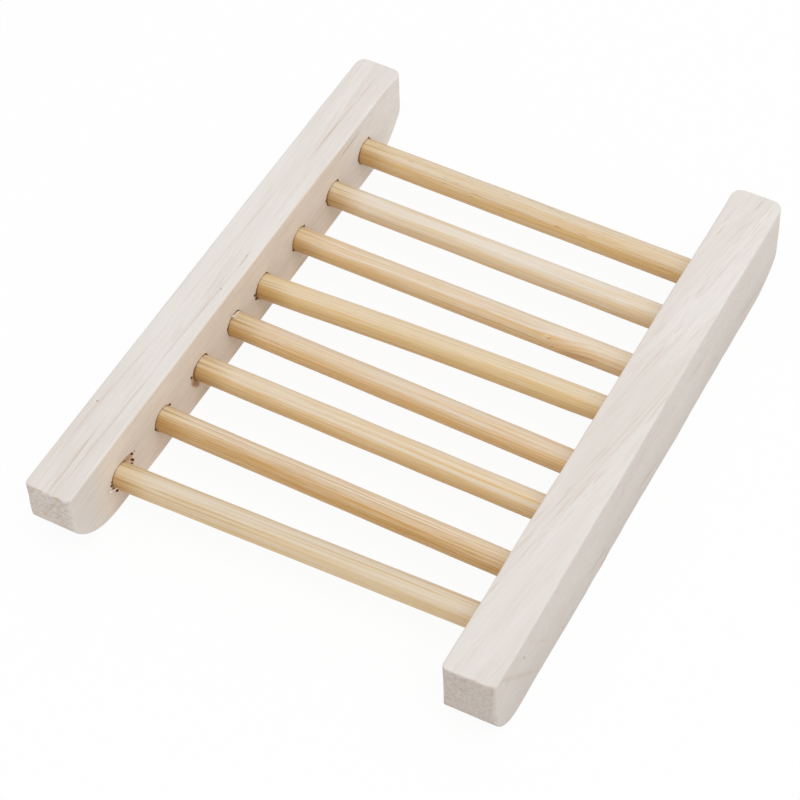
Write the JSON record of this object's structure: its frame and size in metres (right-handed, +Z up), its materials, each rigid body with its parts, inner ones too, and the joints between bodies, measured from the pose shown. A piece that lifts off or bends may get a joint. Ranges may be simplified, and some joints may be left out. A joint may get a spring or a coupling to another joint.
{
  "type": "soap dish",
  "caption": "Slatted soap dish: two pale wooden side rails with upswept ends hold a row of round bamboo rods in blind sockets, so water drains between the rods.",
  "frame": {"origin": "on the table, at the middle of the dish's footprint", "axes": "+X along the rods from the left rail to the right rail, +Y along the rails from the near end to the far end, +Z up"},
  "size_m": [0.09, 0.118, 0.0168],
  "materials": {
    "pale_wood": "bare sanded pale wood, fine pores, no varnish",
    "bamboo": "bare turned bamboo rod, fine lengthwise fibres, no varnish"
  },
  "bodies": {
    "root": {"left_rail": "pale_wood", "right_rail": "pale_wood", "dowel_1": "bamboo", "dowel_2": "bamboo", "dowel_3": "bamboo", "dowel_4": "bamboo", "dowel_5": "bamboo", "dowel_6": "bamboo", "dowel_7": "bamboo", "dowel_8": "bamboo"}
  },
  "joints": []
}
